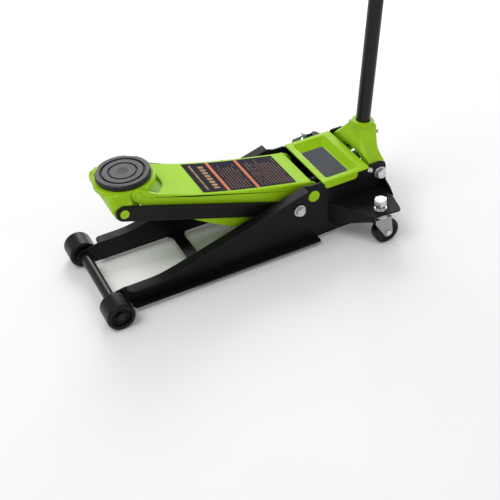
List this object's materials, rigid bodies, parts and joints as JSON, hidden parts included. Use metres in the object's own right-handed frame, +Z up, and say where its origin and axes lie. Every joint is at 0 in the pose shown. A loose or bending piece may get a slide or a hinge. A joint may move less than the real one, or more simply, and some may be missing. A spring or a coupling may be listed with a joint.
{
  "type": "hydraulic trolley jack",
  "caption": "Low-profile hydraulic trolley jack: channel side plates, parallelogram lift arm with swivelling saddle, pump handle in a pivoting socket, front rollers and rear swivel casters.",
  "frame": {"origin": "bottom centre of the bounding box, on the floor plane", "axes": "+Z up, -Y towards the saddle end, +X towards the left side of the jack, seen from behind the handle"},
  "size_m": [0.38, 0.801, 1.1344],
  "materials": {
    "green_paint": "gloss powder coat",
    "black_paint": "satin powder coat",
    "zinc": "bright zinc plate",
    "steel": "machined",
    "chrome": "polished",
    "block_iron": "painted casting",
    "pad_rubber": "matt",
    "grip_rubber": "matt foam rubber",
    "tray_rubber": "matt ribbed",
    "wheel_plastic": "moulded nylon",
    "trim_plastic": "moulded",
    "label_film": "printed film"
  },
  "bodies": {
    "chassis": {"side_plate_left": "black_paint", "side_plate_right": "black_paint", "cross_bar": "black_paint", "front_axle": "black_paint", "axle_nut_left": "black_paint", "axle_nut_right": "black_paint", "rear_tie_rod": "black_paint", "caster_bracket_left": "black_paint", "caster_bracket_right": "black_paint", "caster_bolt_left": "zinc", "caster_bolt_right": "zinc", "swivel_bearing_left": "zinc", "swivel_bearing_right": "zinc", "arm_pivot_shaft": "green_paint", "link_bolt_left": "zinc", "link_bolt_right": "zinc", "hydraulic_cylinder": "black_paint", "filler_plug": "trim_plastic", "pump_block": "block_iron", "unit_mount_left": "black_paint", "unit_mount_right": "black_paint", "cover_plate": "green_paint", "tray_mat": "tray_rubber", "socket_bolt_left": "zinc", "socket_bolt_right": "zinc", "stop_bolt_left": "zinc", "stop_bolt_right": "zinc", "return_spring_left": "steel", "return_spring_right": "steel"},
    "lift_arm": {"lift_arm": "green_paint", "arm_label": "label_film", "lug_shaft": "steel"},
    "push_roller": {"push_roller": "steel"},
    "saddle_head": {"saddle_head": "green_paint", "head_pin_left": "green_paint", "head_pin_right": "green_paint", "link_pin": "green_paint"},
    "saddle": {"saddle_seat": "steel", "saddle_pad": "pad_rubber"},
    "link_left": {"link_bar_left": "black_paint"},
    "link_right": {"link_bar_right": "black_paint"},
    "ram": {"ram": "chrome"},
    "pump_plunger": {"pump_plunger": "chrome"},
    "release_valve": {"release_valve": "zinc"},
    "handle_socket": {"handle_socket": "green_paint", "handle_lock_bolt": "zinc", "pump_roller": "steel"},
    "handle": {"valve_shaft": "steel", "handle_tube_lower": "black_paint", "handle_tube_upper": "black_paint", "handle_grip": "grip_rubber", "handle_end_cap": "trim_plastic"},
    "front_wheel_left": {"front_wheel_left": "wheel_plastic"},
    "caster_fork_left": {"caster_fork_left": "zinc", "caster_axle_left": "zinc"},
    "caster_wheel_left": {"caster_wheel_left": "wheel_plastic"},
    "front_wheel_right": {"front_wheel_right": "wheel_plastic"},
    "caster_fork_right": {"caster_fork_right": "zinc", "caster_axle_right": "zinc"},
    "caster_wheel_right": {"caster_wheel_right": "wheel_plastic"}
  },
  "joints": [
    {"name": "arm_lift", "type": "hinge", "parent": "chassis", "child": "lift_arm", "pos_m": [0, 0.11046, 0.1205], "axis": [-1, 0, 0], "range_deg": [-25, 42]},
    {"name": "link_left_swing", "type": "hinge", "parent": "chassis", "child": "link_left", "pos_m": [0.0764, 0.07396, 0.0965], "axis": [-1, 0, 0], "range_deg": [-25, 42]},
    {"name": "link_right_swing", "type": "hinge", "parent": "chassis", "child": "link_right", "pos_m": [-0.0764, 0.07396, 0.0965], "axis": [-1, 0, 0], "range_deg": [-25, 42]},
    {"name": "head_level", "type": "hinge", "parent": "lift_arm", "child": "saddle_head", "pos_m": [0, -0.27254, 0.2522], "axis": [-1, 0, 0], "range_deg": [-42, 25]},
    {"name": "saddle_swivel", "type": "hinge", "parent": "saddle_head", "child": "saddle", "pos_m": [0, -0.27724, 0.2626], "axis": [0, 0, 1], "continuous": true},
    {"name": "push_roller_spin", "type": "hinge", "parent": "lift_arm", "child": "push_roller", "pos_m": [0, 0.11946, 0.0561], "axis": [1, 0, 0], "continuous": true},
    {"name": "ram_slide", "type": "slide", "parent": "chassis", "child": "ram", "axis": [0, -1, 0], "range_m": [-0.0275, 0.0455], "deforming": ["return_spring_left", "return_spring_right"]},
    {"name": "handle_pump", "type": "hinge", "parent": "chassis", "child": "handle_socket", "pos_m": [0, 0.27686, 0.1243], "axis": [-1, 0, 0], "range_deg": [-4, 62]},
    {"name": "handle_twist", "type": "hinge", "parent": "handle_socket", "child": "handle", "pos_m": [0, 0.27686, 0.1243], "axis": [0, 0.1045, 0.9945], "range_deg": [-20, 180]},
    {"name": "plunger_stroke", "type": "slide", "parent": "chassis", "child": "pump_plunger", "axis": [0, 0, -1], "range_m": [-0.0016, 0.0226]},
    {"name": "release_valve_turn", "type": "hinge", "parent": "chassis", "child": "release_valve", "pos_m": [0, 0.27686, 0.095], "axis": [0, 0, 1], "range_deg": [-20, 180]},
    {"name": "front_wheel_left_spin", "type": "hinge", "parent": "chassis", "child": "front_wheel_left", "pos_m": [0.119, -0.36954, 0.031], "axis": [1, 0, 0], "continuous": true},
    {"name": "caster_left_swivel", "type": "hinge", "parent": "chassis", "child": "caster_fork_left", "pos_m": [0.1635, 0.23096, 0.072], "axis": [0, 0, 1], "continuous": true},
    {"name": "caster_left_spin", "type": "hinge", "parent": "caster_fork_left", "child": "caster_wheel_left", "pos_m": [0.1635, 0.24346, 0.03], "axis": [1, 0, 0], "continuous": true},
    {"name": "front_wheel_right_spin", "type": "hinge", "parent": "chassis", "child": "front_wheel_right", "pos_m": [-0.119, -0.36954, 0.031], "axis": [1, 0, 0], "continuous": true},
    {"name": "caster_right_swivel", "type": "hinge", "parent": "chassis", "child": "caster_fork_right", "pos_m": [-0.1635, 0.23096, 0.072], "axis": [0, 0, 1], "continuous": true},
    {"name": "caster_right_spin", "type": "hinge", "parent": "caster_fork_right", "child": "caster_wheel_right", "pos_m": [-0.1635, 0.24346, 0.03], "axis": [1, 0, 0], "continuous": true}
  ],
  "couplings": [
    {"joint": "link_left_swing", "follows": "arm_lift", "ratio": 1},
    {"joint": "link_right_swing", "follows": "arm_lift", "ratio": 1},
    {"joint": "head_level", "follows": "arm_lift", "ratio": -1},
    {"joint": "ram_slide", "follows": "arm_lift", "m_per_rad": 0.0613},
    {"joint": "plunger_stroke", "follows": "handle_pump", "m_per_rad": 0.02043},
    {"joint": "release_valve_turn", "follows": "handle_twist", "ratio": 1}
  ]
}
